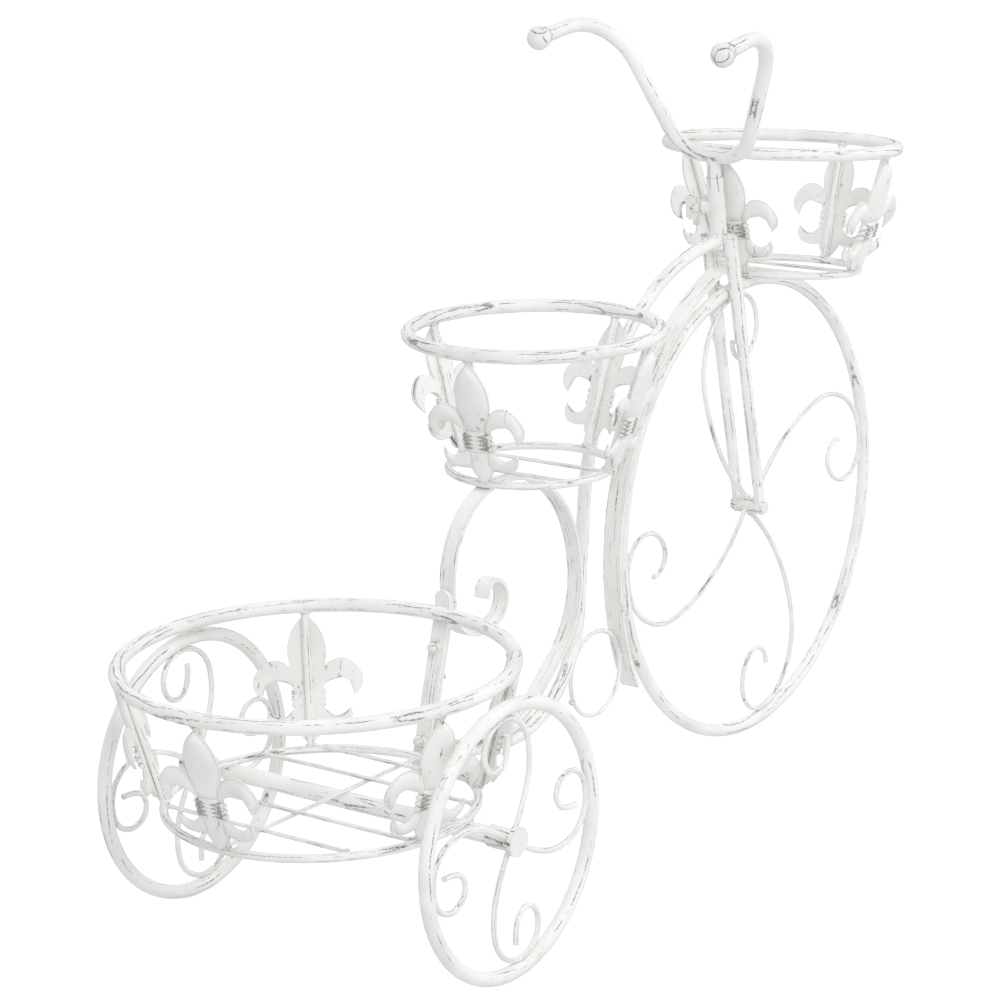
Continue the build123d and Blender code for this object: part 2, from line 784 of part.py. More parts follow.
def fleur_plate(plane):
    """One fleur-de-lis plate with a beaded waist, its tip at the plane's origin."""
    with BuildPart() as plate:
        with BuildSketch(plane):
            with BuildLine():
                petal = ThreePointArc(fleur(0, 0), fleur(0.23, 0.10), fleur(0.345, 0.235))
                petal = ThreePointArc(petal @ 1, fleur(0.33, 0.37), fleur(0.25, 0.48))
                side = ThreePointArc(petal @ 1, fleur(0.58, 0.345), fleur(0.90, 0.42))
                side = ThreePointArc(side @ 1, fleur(1.0, 0.53), fleur(0.82, 0.635))
                side = ThreePointArc(side @ 1, fleur(0.70, 0.515), fleur(0.46, 0.505))
                side = ThreePointArc(side @ 1, fleur(0.31, 0.54), fleur(0.27, 0.60))
                waist = Line(side @ 1, fleur(0.27, 0.69))
                curl = ThreePointArc(waist @ 1, fleur(0.45, 0.795), fleur(0.75, 0.73))
                curl = ThreePointArc(curl @ 1, fleur(0.73, 0.84), fleur(0.52, 0.885))
                curl = ThreePointArc(curl @ 1, fleur(0.36, 0.885), fleur(0.24, 0.87))
                tail = ThreePointArc(curl @ 1, fleur(0.14, 0.95), fleur(0, 1))
                Line(tail @ 1, fleur(0, 0))
            make_face()
            mirror(about=Plane.YZ)
        extrude(amount=fleur_thickness)
        waist_middle = -0.645 * fleur_height
        waist_half = 0.31 * fleur_width / 2
        for step in (-1, 0, 1):
            height = waist_middle + step * waist_bead_pitch
            start = plane.from_local_coords(Vector(-waist_half, height, fleur_thickness))
            end = plane.from_local_coords(Vector(waist_half, height, fleur_thickness))
            add(straight_rod(start, end, waist_bead))
    return plate.part


def basket(name, bottom, top, bottom_radius, top_radius, angles, wires, wire_height):
    """All pieces of one basket, between its bottom and top ring planes."""
    ring_piece(top, top_radius, top_ring_tube, f"{name}_top_ring")
    ring_piece(bottom, bottom_radius, bottom_ring_wire, f"{name}_bottom_ring")

    with BuildPart() as posts:
        for angle in angles:
            high = ring_point(top, top_radius, angle)
            low = ring_point(bottom, bottom_radius, angle)
            up = (high - low).normalized()
            low_end = low + up * (bottom_ring_wire / 2 - end_sink)
            high_end = high - up * (top_ring_tube / 2 - end_sink)
            add(straight_rod(low_end, high_end, post_wire))
    save(posts, f"{name}_posts")

    with BuildPart() as fleurs:
        for angle in angles:
            high = ring_point(top, top_radius, angle)
            up = (high - ring_point(bottom, bottom_radius, angle)).normalized()
            around = ring_point(top, 1, angle + 90) - top.origin
            outward = around.cross(up).normalized()
            tip = high - up * fleur_top_gap + outward * (post_wire / 2 - weld_sink)
            add(fleur_plate(Plane(origin=tip, x_dir=around, z_dir=outward)))
    save(fleurs, f"{name}_fleurs")

    with BuildPart() as floor_wires:
        ring_inside = bottom_radius - bottom_ring_wire / 2 + end_sink
        for offset in wires:
            half = sqrt(ring_inside**2 - offset**2)
            start = bottom.from_local_coords(Vector(offset, -half, wire_height))
            end = bottom.from_local_coords(Vector(offset, half, wire_height))
            add(straight_rod(start, end, grid_wire))
    save(floor_wires, f"{name}_floor_wires")


long_wire_z = rear_axle_z + axle_tube_size / 2 + grid_wire / 2 - weld_sink
rear_wire_height = long_wire_z + grid_wire - weld_sink - rear_ring_z
basket(
    "rear",
    rear_bottom_plane,
    rear_top_plane,
    rear_bottom_radius,
    rear_top_radius,
    rear_fleur_angles,
    rear_grid,
    rear_wire_height,
)
with BuildPart() as rear_long_wire:
    long_wire_half = rear_bottom_radius - bottom_ring_wire / 2 + end_sink
    add(
        straight_rod(
            Vector(rear_basket_x - long_wire_half, 0, long_wire_z),
            Vector(rear_basket_x + long_wire_half, 0, long_wire_z),
            grid_wire,
        )
    )
save(rear_long_wire, "rear_long_wire")

# The middle basket's first floor wire is welded on the crest of the loop strip's arch
middle_x = (loop_left_x + backbone_x(rear_axle_z * 2)) / 2 + middle_basket_ahead
middle_wire_z = arch_height(middle_x + small_grid[0]) + grid_wire / 2 - weld_sink
middle_ring_z = middle_wire_z - small_wire_height
basket(
    "middle",
    level_plane(middle_x, middle_ring_z),
    level_plane(middle_x + middle_top_shift, middle_ring_z + basket_depth),
    small_bottom_radius,
    small_top_radius,
    middle_fleur_angles,
    small_grid,
    small_wire_height,
)

# The front basket tips forward, welded by the back of its bottom ring to the big rim's top
tilt = radians(front_basket_tilt)
ring_to_hub = front_reach + bottom_ring_wire / 2 - weld_sink
ring_back_up = sqrt(ring_to_hub**2 - front_ring_behind_hub**2)
ring_back = front_hub + Vector(-front_ring_behind_hub, 0, ring_back_up)
tipped_x = Vector(cos(tilt), 0, -sin(tilt))
tipped_z = Vector(sin(tilt), 0, cos(tilt))
front_bottom_origin = ring_back + tipped_x * small_bottom_radius
front_top_origin = front_bottom_origin + tipped_z * basket_depth + tipped_x * front_top_shift
basket(
    "front",
    Plane(origin=front_bottom_origin, x_dir=tipped_x, z_dir=tipped_z),
    Plane(origin=front_top_origin, x_dir=tipped_x, z_dir=tipped_z),
    small_bottom_radius,
    small_top_radius,
    front_fleur_angles,
    small_grid,
    small_wire_height,
)
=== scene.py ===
import json
from math import cos, pi, radians, sin, sqrt
from random import Random

import bpy
from mathutils import Matrix, Vector
from mathutils.noise import noise


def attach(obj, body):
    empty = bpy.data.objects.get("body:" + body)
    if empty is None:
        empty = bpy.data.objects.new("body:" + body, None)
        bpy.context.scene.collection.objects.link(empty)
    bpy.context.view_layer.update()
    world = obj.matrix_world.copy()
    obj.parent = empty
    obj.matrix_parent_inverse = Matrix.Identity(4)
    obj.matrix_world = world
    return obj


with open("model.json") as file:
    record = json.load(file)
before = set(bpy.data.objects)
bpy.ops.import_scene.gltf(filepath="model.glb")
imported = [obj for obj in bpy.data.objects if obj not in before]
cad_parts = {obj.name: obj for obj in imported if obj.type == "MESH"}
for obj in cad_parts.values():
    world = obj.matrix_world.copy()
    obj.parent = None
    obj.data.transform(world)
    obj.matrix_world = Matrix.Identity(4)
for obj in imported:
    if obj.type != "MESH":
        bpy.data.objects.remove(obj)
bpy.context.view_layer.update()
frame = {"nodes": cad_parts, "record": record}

MM = 0.001
jitter = Random(7)

# Places of the CAD model that the dressing sits on, in millimetres
REAR_AXLE = Vector((-266.0, 0.0, 96.0))
FRONT_HUB = Vector((244.0, 0.0, 184.7))
TRACK_HALF = 136.4
REAR_RIM_INNER = 86.0
FRONT_RIM_INNER = 175.0
FRONT_RIM_MIDDLE = 180.0
HEAD_FOOT = Vector((201.3, 0.0, 398.0))
RAKE = radians(7.5)
HEAD_UP = Vector((-sin(RAKE), 0.0, cos(RAKE)))
CROWN = HEAD_FOOT + HEAD_UP * 5
LEG_TOP = Vector((200.65, 0.0, 402.96))
BRACE_CENTRE = Vector((28.2, 0.0, 104.7))
BRACE_RADIUS = 32.0
FRONT_RING_BACK = Vector((236.0, 0.0, 372.2))
MIDDLE_CREST = Vector((-96.0, 0.0, 279.2))
BAR_OUT = Vector((0.9583, 0, -0.2859))
BAR_RISE = Vector((0.2859, 0, 0.9583))
BAR_TOUCH = Vector((-186.11, 0.0, 103.13))
BAR_TO_TOP_RING = 100.1
FENDER_LUG = Vector((55.16, 0.0, 142.08)) - FRONT_HUB
BALL_END_X, BALL_END_Y, BALL_END_Z = 93.89, 84.2, 562.68
BAR_TURN = radians(-4.5)

# Angles from forward to up at which the first spoke meets its rim and its hub
FRONT_SPOKE_TOUCH = 97.06
REAR_SPOKE_TOUCH = 95.91
REAR_SPOKE_ROOT = 63
SPOKES = 4

BASKETS = {
    "rear": dict(
        low=(-293.0, 103.9), high=(-293.0, 200.4), radii=(104.3, 131.0), tilt=0.0,
        angles=(43.0, 124.0, 184.0, 256.0, 315.0), wires=(-67.0, -29.0, 47.0, 81.0), wire_up=2.0,
    ),
    "middle": dict(
        low=(-49.2, 281.0), high=(-42.7, 377.5), radii=(58.5, 88.8), tilt=0.0,
        angles=(353.0, 91.0, 185.0, 280.0), wires=(-21.0, 16.0), wire_up=-1.0,
    ),
    "front": dict(
        low=(294.34, 367.84), high=(292.1, 464.78), radii=(58.5, 88.8), tilt=radians(4.3),
        angles=(358.0, 88.0, 182.0, 275.0), wires=(-21.0, 16.0), wire_up=-1.0,
    ),
}
TOP_TUBE = 10.0
BOTTOM_WIRE = 6.0
POST_WIRE = 6.0

# The plates of the CAD model, and how the raised forms sit on them
FLEUR_HEIGHT = 90.0
FLEUR_HALF = 38.5
FLEUR_FACE = 1.5
FLEUR_DROP = 6.5
FLEUR_SEAT = POST_WIRE / 2 - 0.3
RELIEF_SINK = 0.15
SHEET = 0.9
MERGE_DISTANCE = 0.05
DOME_END_RISE = 2.2
DOME_END_HEIGHT = 0.12
BAND_RADIUS = 1.45
BAND_ROUNDING = 0.55
BAND_SEAT = 1.1
BAND_BOW = 1.5

# Pattern sizes of the paint, in millimetres
LINE_DRIFT = 17.0
ROD_PATCH = 44.0
SHEET_PATCH = 40.0
MOTTLE = 46.0

# Rubbed bands of a rod: the way the surface faces there, how nearly, and half the band's width
ROD_BANDS = (
    ((-0.28, -0.22, 0.93), 0.80, 0.060),
    ((-0.90, -0.30, 0.30), 0.72, 0.058),
    ((0.20, -0.95, 0.25), 0.76, 0.058),
    ((0.55, 0.35, 0.76), 0.66, 0.052),
    ((-0.62, -0.74, -0.25), 0.58, 0.055),
    ((0.35, 0.85, -0.35), 0.50, 0.052),
)


# Colour and node helpers
def colour(code):
    """An sRGB hex colour as linear RGBA."""
    def linear(c):
        return c / 12.92 if c <= 0.04045 else ((c + 0.055) / 1.055) ** 2.4
    parts = [int(code[i:i + 2], 16) / 255 for i in (1, 3, 5)]
    return tuple(linear(c) for c in parts) + (1.0,)


def node(tree, kind, inputs=None, **settings):
    """Adds one node with its settings; an input is a value or another node's output."""
    made = tree.nodes.new(kind)
    for name, value in settings.items():
        setattr(made, name, value)
    for key, value in (inputs or {}).items():
        if isinstance(value, bpy.types.NodeSocket):
            tree.links.new(value, made.inputs[key])
        else:
            made.inputs[key].default_value = value
    return made


def rod_lines(tree, place, facing, cover):
    """Rubbed lines along every round rod, where a thin band of its surface faces one way."""
    drift = node(tree, "ShaderNodeTexNoise", {
        "Vector": place, "Scale": 1000 / LINE_DRIFT, "Detail": 2.0, "Roughness": 0.5,
    }).outputs["Fac"]
    total = None
    for index, (way, nearness, width) in enumerate(ROD_BANDS):
        dot = node(tree, "ShaderNodeVectorMath", {
            0: facing, 1: way,
        }, operation="DOT_PRODUCT").outputs["Value"]
        level = node(tree, "ShaderNodeMath", {
            0: drift, 1: 0.34, 2: nearness - 0.17,
        }, operation="MULTIPLY_ADD").outputs[0]
        away = node(tree, "ShaderNodeMath", {0: dot, 1: level}, operation="SUBTRACT").outputs[0]
        near = node(tree, "ShaderNodeMath", {0: away}, operation="ABSOLUTE").outputs[0]
        line = node(tree, "ShaderNodeMapRange", {
            "Value": near, "From Min": 0.25 * width, "From Max": width,
            "To Min": 1.0, "To Max": 0.0,
        }, interpolation_type="SMOOTHSTEP").outputs["Result"]
        shifted = node(tree, "ShaderNodeVectorMath", {
            0: place, 1: (0.31 * index, 0.17 * index, 0.11),
        }, operation="ADD").outputs[0]
        patch = node(tree, "ShaderNodeTexNoise", {
            "Vector": shifted, "Scale": 1000 / ROD_PATCH, "Detail": 4.0, "Roughness": 0.7,
        }).outputs["Fac"]
        shown = node(tree, "ShaderNodeMapRange", {
            "Value": patch, "From Min": 0.57 - cover, "From Max": 0.66 - cover,
        }, interpolation_type="SMOOTHSTEP").outputs["Result"]
        part = node(tree, "ShaderNodeMath", {0: line, 1: shown}, operation="MULTIPLY").outputs[0]
        if total is None:
            total = part
        else:
            total = node(tree, "ShaderNodeMath", {
                0: total, 1: part,
            }, operation="MAXIMUM").outputs[0]
    return total


def sheet_lines(tree, place, run_mm, cover):
    """Rubbed lines on flat iron, drawn out along each axis as far as run_mm says."""
    drawn = node(tree, "ShaderNodeVectorMath", {
        0: place, 1: tuple(1000 / length for length in run_mm),
    }, operation="MULTIPLY").outputs[0]
    hair = node(tree, "ShaderNodeTexNoise", {
        "Vector": drawn, "Scale": 1.0, "Detail": 3.0, "Roughness": 0.55,
    }).outputs["Fac"]
    line = node(tree, "ShaderNodeMapRange", {
        "Value": hair, "From Min": 0.57, "From Max": 0.66,
    }, interpolation_type="SMOOTHSTEP").outputs["Result"]
    patch = node(tree, "ShaderNodeTexNoise", {
        "Vector": place, "Scale": 1000 / SHEET_PATCH, "Detail": 4.0, "Roughness": 0.7,
    }).outputs["Fac"]
    shown = node(tree, "ShaderNodeMapRange", {
        "Value": patch, "From Min": 0.57 - cover, "From Max": 0.66 - cover,
    }, interpolation_type="SMOOTHSTEP").outputs["Result"]
    return node(tree, "ShaderNodeMath", {0: line, 1: shown}, operation="MULTIPLY").outputs[0]


def brushed_white_paint(
    name, base, thin, wear_and_crease_shade_grey, cover, grain_mm, rough=0.48, run_mm=None, edge_mm=0.6
):
    """White lacquer brushed over dark iron and taken back by hand with rubbing.

    Rubbing leaves thin grey lines along each piece, in patches some centimetres long,
    and takes the lacquer off sharp edges. The same grey goes into concave creases as painted
    shade. Flat iron has run_mm, the length of its lines along each axis; without it the
    piece is painted as round rod.
    """
    material = bpy.data.materials.new(name)
    material.use_nodes = True
    tree = material.node_tree
    tree.nodes.clear()
    place = node(tree, "ShaderNodeTexCoord").outputs["Object"]
    facing = node(tree, "ShaderNodeNewGeometry").outputs["Normal"]
    grain = node(tree, "ShaderNodeTexNoise", {
        "Vector": place, "Scale": 1000 / grain_mm, "Detail": 4.0, "Roughness": 0.65,
    }).outputs["Fac"]
    clouds = node(tree, "ShaderNodeTexNoise", {
        "Vector": place, "Scale": 1000 / MOTTLE, "Detail": 3.0, "Roughness": 0.6,
    }).outputs["Fac"]
    if run_mm is None:
        lines = rod_lines(tree, place, facing, cover)
    else:
        lines = sheet_lines(tree, place, run_mm, cover)
    rounded = node(tree, "ShaderNodeBevel", {"Radius": edge_mm * MM}, samples=4).outputs["Normal"]
    flatness = node(tree, "ShaderNodeVectorMath", {
        0: facing, 1: rounded,
    }, operation="DOT_PRODUCT").outputs["Value"]
    # Sharp edges and concave creases both turn grey here: on edges it is wear, in creases it is
    # painted shade.
    edges = node(tree, "ShaderNodeMapRange", {
        "Value": flatness, "From Min": 0.80, "From Max": 0.97, "To Min": 0.85, "To Max": 0.0,
    }, interpolation_type="SMOOTHSTEP").outputs["Result"]
    rubbing_and_crease_shade = node(tree, "ShaderNodeMath", {0: lines, 1: edges}, operation="MAXIMUM").outputs[0]
    broken = node(tree, "ShaderNodeMapRange", {
        "Value": grain, "From Min": 0.36, "From Max": 0.54,
    }, interpolation_type="SMOOTHSTEP").outputs["Result"]
    wear_and_crease_shade = node(tree, "ShaderNodeMath", {0: rubbing_and_crease_shade, 1: broken}, operation="MULTIPLY").outputs[0]
    mottle = node(tree, "ShaderNodeMapRange", {
        "Value": clouds, "From Min": 0.35, "From Max": 0.75,
    }, interpolation_type="SMOOTHSTEP").outputs["Result"]
    coat = node(tree, "ShaderNodeMix", {
        "Factor": mottle, "A": colour(base), "B": colour(thin),
    }, data_type="RGBA").outputs["Result"]
    # The grey mixed in is wear along the lines and on sharp edges, and painted shade in the
    # creases.
    paint = node(tree, "ShaderNodeMix", {
        "Factor": wear_and_crease_shade, "A": coat, "B": colour(wear_and_crease_shade_grey),
    }, data_type="RGBA").outputs["Result"]
    height = node(tree, "ShaderNodeMath", {0: grain, 1: wear_and_crease_shade}, operation="SUBTRACT").outputs[0]
    bump = node(tree, "ShaderNodeBump", {
        "Strength": 0.35, "Distance": 0.0003, "Height": height,
    }).outputs["Normal"]
    gloss = node(tree, "ShaderNodeMapRange", {
        "Value": grain, "From Min": 0.2, "From Max": 0.8,
        "To Min": rough - 0.08, "To Max": rough + 0.12,
    }, interpolation_type="SMOOTHSTEP").outputs["Result"]
    shader = node(tree, "ShaderNodeBsdfPrincipled", {
        "Base Color": paint, "Roughness": gloss, "IOR": 1.48, "Normal": bump,
    }).outputs["BSDF"]
    node(tree, "ShaderNodeOutputMaterial", {"Surface": shader})
    return material


# One white lacquer over iron. On tube the eye gets long grey rubbed lines on a clean white.
tube_paint = brushed_white_paint(
    "lacquered_tube", "#F7F6F4", "#ECEBE8", "#7D7B78", 0.060, 1.3
)
# On thin wire the rubbing is denser, so it reads a little greyer.
wire_paint = brushed_white_paint(
    "lacquered_wire", "#F6F5F3", "#E9E8E5", "#777572", 0.085, 1.0
)
# On flat bar the lines run along the bar in the side plane, and both its edges are rubbed.
strip_paint = brushed_white_paint(
    "lacquered_strip", "#F6F5F3", "#EBEAE7", "#7D7B78", 0.13, 1.5,
    run_mm=(42.0, 1.1, 42.0), edge_mm=0.7,
)
# On pressed sheet the creases between petals are grey with painted shade and the domes are
# cleanly white.
plate_paint = brushed_white_paint(
    "lacquered_pressed_sheet", "#F5F4F2", "#E8E7E4", "#7B7976", 0.05, 0.9, 0.55,
    run_mm=(4.0, 4.0, 26.0),
)
# Fittings are handled more, so their edges show iron.
fitting_paint = brushed_white_paint(
    "lacquered_fitting", "#F3F2F0", "#E5E4E1", "#5C5A57", 0.09, 0.7
)
# Weld beads take the lacquer unevenly and are the greyest.
weld_paint = brushed_white_paint(
    "lacquered_weld", "#F2F1EF", "#DFDEDB", "#5C5A57", 0.10, 0.8, 0.52
)

FINISH = {
    "frame_tube": tube_paint,
    "wheel_tube": tube_paint,
    "wire": wire_paint,
    "flat_strip": strip_paint,
    "pressed_plate": plate_paint,
    "fittings": fitting_paint,
}
slot_of = {part["node"]: part["material_slot"] for part in frame["record"]["subparts"]}
for name, piece in frame["nodes"].items():
    piece.data.materials.clear()
    piece.data.materials.append(FINISH[slot_of[name]])


# Modelling helpers
def deselect():
    """Nothing selected, object mode."""
    if bpy.context.mode != "OBJECT":
        bpy.ops.object.mode_set(mode="OBJECT")
    bpy.ops.object.select_all(action="DESELECT")


def only(piece):
    """This piece alone selected and active."""
    deselect()
    piece.select_set(True)
    bpy.context.view_layer.objects.active = piece


def apply_all(piece):
    """Applies every modifier and moves the piece's place into its mesh."""
    only(piece)
    for modifier in list(piece.modifiers):
        bpy.ops.object.modifier_apply(modifier=modifier.name)
    bpy.ops.object.transform_apply(location=True, rotation=True, scale=True)


def finish_piece(piece, name, body, paint):
    """Names a finished piece, gives it its paint and lets it ride on its body."""
    apply_all(piece)
    bpy.ops.object.shade_smooth_by_angle(angle=radians(42))
    piece.name = name
    piece.data.materials.clear()
    piece.data.materials.append(paint)
    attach(piece, body)


def join(pieces):
    """One object from several."""
    only(pieces[0])
    for piece in pieces:
        piece.select_set(True)
    bpy.ops.object.join()
    return bpy.context.view_layer.objects.active


def smooth_line(points, share):
    """Point on a rounded line through the points, at a share of the way."""
    last = len(points) - 1
    place = min(share * last, last - 1e-6)
    i = int(place)
    t = place - i
    p0, p1 = points[max(i - 1, 0)], points[i]
    p2, p3 = points[i + 1], points[min(i + 2, last)]
    return [
        0.5 * (
            2 * b
            + (c - a) * t
            + (2 * a - 5 * b + 4 * c - d) * t * t
            + (3 * b - a - 3 * c + d) * t ** 3
        )
        for a, b, c, d in zip(p0, p1, p2, p3)
    ]


# Pressed fleur-de-lis: domed petals raised on the flat plate of the CAD model. Each form has
# two edges; their points are shares of the half width, and of the height down from the tip.
TOP_PETAL = (
    [(0, 0.004), (-0.21, 0.10), (-0.32, 0.235), (-0.31, 0.37), (-0.235, 0.47), (-0.20, 0.56)],
    [(0, 0.004), (0.21, 0.10), (0.32, 0.235), (0.31, 0.37), (0.235, 0.47), (0.20, 0.56)],
)
SIDE_PETAL = (
    [
        (0.19, 0.50), (0.36, 0.40), (0.58, 0.357), (0.78, 0.372),
        (0.92, 0.44), (0.965, 0.53), (0.83, 0.622),
    ],
    [
        (0.19, 0.60), (0.30, 0.545), (0.44, 0.515), (0.58, 0.502),
        (0.70, 0.505), (0.77, 0.545), (0.83, 0.622),
    ],
)
LOWER_CURL = (
    [(0.17, 0.71), (0.30, 0.735), (0.44, 0.785), (0.58, 0.782), (0.72, 0.742)],
    [(0.16, 0.85), (0.30, 0.872), (0.44, 0.878), (0.60, 0.865), (0.715, 0.80)],
)
TAIL = (
    [(-0.24, 0.70), (-0.22, 0.78), (-0.21, 0.86), (-0.13, 0.94), (0, 0.994)],
    [(0.24, 0.70), (0.22, 0.78), (0.21, 0.86), (0.13, 0.94), (0, 0.994)],
)
WAIST = (
    [(-0.20, 0.54), (-0.245, 0.60), (-0.245, 0.69), (-0.23, 0.73)],
    [(0.20, 0.54), (0.245, 0.60), (0.245, 0.69), (0.23, 0.73)],
)
# Raised bands round the waist: share of the height, and half length as a share of half width
WAIST_BANDS = ((0.587, 0.255), (0.620, 0.27), (0.655, 0.27), (0.690, 0.265))


def petal(edges, height, rows, across=8):
    """A domed strip of sheet between two edges, thick enough to be closed."""
    deselect()
    bpy.ops.mesh.primitive_grid_add(x_subdivisions=across, y_subdivisions=rows, size=1)
    piece = bpy.context.active_object
    for vertex in piece.data.vertices:
        s, t = vertex.co.x + 0.5, vertex.co.y + 0.5
        left, right = smooth_line(edges[0], t), smooth_line(edges[1], t)
        u = left[0] + (right[0] - left[0]) * s
        v = left[1] + (right[1] - left[1]) * s
        slope = sin(pi * min(max(t, 0.0), 1.0)) * DOME_END_RISE + DOME_END_HEIGHT
        dome = sqrt(max(0.0, 1 - (2 * s - 1) ** 2)) * height * min(1.0, slope)
        vertex.co = (u * FLEUR_HALF, -v * FLEUR_HEIGHT, dome)
    only(piece)
    bpy.ops.object.mode_set(mode="EDIT")
    bpy.ops.mesh.select_all(action="SELECT")
    bpy.ops.mesh.remove_doubles(threshold=MERGE_DISTANCE)
    bpy.ops.mesh.normals_make_consistent(inside=False)
    bpy.ops.object.mode_set(mode="OBJECT")
    up = sum((face.normal.z * face.area for face in piece.data.polygons), 0.0)
    shell = piece.modifiers.new("sheet", "SOLIDIFY")
    shell.thickness = SHEET
    shell.offset = -1.0 if up > 0 else 1.0
    apply_all(piece)
    return piece


def waist_band(height_share, half_share):
    """One raised band across the waist, rounded and bowed forward in its middle."""
    half = half_share * FLEUR_HALF
    deselect()
    bpy.ops.mesh.primitive_cylinder_add(
        vertices=14, radius=BAND_RADIUS, depth=2 * half_share * FLEUR_HALF,
        location=(0, -height_share * FLEUR_HEIGHT, 0), rotation=(0, pi / 2, 0),
    )
    piece = bpy.context.active_object
    only(piece)
    bpy.ops.object.transform_apply(location=True, rotation=True, scale=True)
    bpy.ops.object.mode_set(mode="EDIT")
    bpy.ops.mesh.select_all(action="SELECT")
    bpy.ops.mesh.bevel(offset=BAND_RADIUS * BAND_ROUNDING, segments=3, affect="EDGES")
    bpy.ops.object.mode_set(mode="OBJECT")
    for vertex in piece.data.vertices:
        bow = 1 - (vertex.co.x / half) ** 2
        vertex.co.z += BAND_SEAT + BAND_BOW * max(0.0, bow) ** 0.5
    return piece


def mirrored(edges):
    """The same petal on the other side."""
    return tuple([(-u, v) for u, v in edge] for edge in reversed(edges))


def pressed_relief():
    """All raised forms of one fleur, on its plate's outer face, in millimetres."""
    forms = [
        petal(TOP_PETAL, 4.2, 20, across=12),
        petal(WAIST, 3.2, 8),
        petal(TAIL, 3.0, 12),
    ]
    for edges, height, rows in ((SIDE_PETAL, 3.0, 26), (LOWER_CURL, 2.4, 16)):
        forms.append(petal(edges, height, rows))
        forms.append(petal(mirrored(edges), height, rows))
    for height_share, half_share in WAIST_BANDS:
        forms.append(waist_band(height_share, half_share))
    return join(forms)


def basket_frame(basket):
    """The two ring planes of a basket: their middles and their shared directions."""
    tilt = basket["tilt"]
    ahead = Vector((cos(tilt), 0, -sin(tilt)))
    across = Vector((0, 1, 0))
    low = Vector((basket["low"][0], 0, basket["low"][1]))
    high = Vector((basket["high"][0], 0, basket["high"][1]))
    return low, high, ahead, across


def on_ring(middle, ahead, across, radius, angle):
    """Point of a ring."""
    turn = radians(angle)
    return middle + ahead * (radius * cos(turn)) + across * (radius * sin(turn))


relief = pressed_relief()
relief.name = "relief_master"
for basket_name, basket in BASKETS.items():
    low, high, ahead, across = basket_frame(basket)
    plates = []
    for angle in basket["angles"]:
        top = on_ring(high, ahead, across, basket["radii"][1], angle)
        foot = on_ring(low, ahead, across, basket["radii"][0], angle)
        up = (top - foot).normalized()
        around = on_ring(Vector(), ahead, across, 1, angle + 90)
        outward = around.cross(up).normalized()
        around = up.cross(outward)
        tip = top - up * FLEUR_DROP + outward * (FLEUR_SEAT + FLEUR_FACE - RELIEF_SINK)
        place = Matrix((around, up, outward)).transposed().to_4x4()
        place.translation = tip
        plate = relief.copy()
        plate.data = relief.data.copy()
        bpy.context.collection.objects.link(plate)
        plate.data.transform(Matrix.Scale(MM, 4) @ place)
        plates.append(plate)
    finish_piece(
        join(plates), f"{basket_name}_fleur_relief", "frame", plate_paint
    )
only(relief)
bpy.ops.object.delete()


# Weld beads: small melted lumps of iron where pieces meet, under the same paint
def noise_place():
    """A random place in the noise, so that no two beads are alike."""
    return Vector([jitter.uniform(0, 50) for axis in range(3)])


def weld(point, size, along, squash):
    """One lumpy bead at a point in millimetres, flattened along a direction."""
    deselect()
    bpy.ops.mesh.primitive_ico_sphere_add(subdivisions=3, radius=1)
    piece = bpy.context.active_object
    seed = noise_place()
    turn = Vector((0, 0, 1)).rotation_difference(Vector(along)).to_matrix()
    for vertex in piece.data.vertices:
        lump = 1 + 0.22 * noise(vertex.co * 1.7 + seed) + 0.08 * noise(vertex.co * 5 + seed)
        shape = Vector((vertex.co.x, vertex.co.y, vertex.co.z * squash)) * size * lump
        vertex.co = (turn @ shape + Vector(point)) * MM
    return piece


def collar(point, along, inner, size):
    """A ring of weld round a rod's end, in millimetres."""
    deselect()
    bpy.ops.mesh.primitive_torus_add(
        major_segments=28, minor_segments=10, major_radius=inner, minor_radius=size
    )
    piece = bpy.context.active_object
    seed = noise_place()
    turn = Vector((0, 0, 1)).rotation_difference(Vector(along)).to_matrix()
    for vertex in piece.data.vertices:
        ripple = 1 + 0.16 * noise(vertex.co * 0.45 + seed) / max(1.0, inner * 0.1)
        vertex.co = (turn @ (vertex.co * ripple) + Vector(point)) * MM
    return piece


# Baskets: a collar at both ends of each post and a bead at both ends of each floor wire
COLLAR_SINK = 0.2
frame_welds = []
for basket in BASKETS.values():
    low, high, ahead, across = basket_frame(basket)
    ring_up = ahead.cross(across)
    for angle in basket["angles"]:
        top = on_ring(high, ahead, across, basket["radii"][1], angle)
        foot = on_ring(low, ahead, across, basket["radii"][0], angle)
        up = (top - foot).normalized()
        under_ring = top - up * (TOP_TUBE / 2 - COLLAR_SINK)
        over_ring = foot + up * (BOTTOM_WIRE / 2 - COLLAR_SINK)
        frame_welds.append(collar(under_ring, up, POST_WIRE / 2, 1.2))
        frame_welds.append(collar(over_ring, up, POST_WIRE / 2, 1.1))
    for offset in basket["wires"]:
        reach = sqrt((basket["radii"][0] - BOTTOM_WIRE / 2) ** 2 - offset ** 2)
        for side in (-1, 1):
            end = low + ahead * offset + across * (side * reach) + ring_up * basket["wire_up"]
            frame_welds.append(weld(end, 2.5, across, 0.62))

# All other beads of the frame: place, size, the direction each is flattened along, how flat
AHEAD, ACROSS, UPWARD = (1, 0, 0), (0, 1, 0), (0, 0, 1)
CROWN_BACK = (1, 0, 0.2)
beads = []

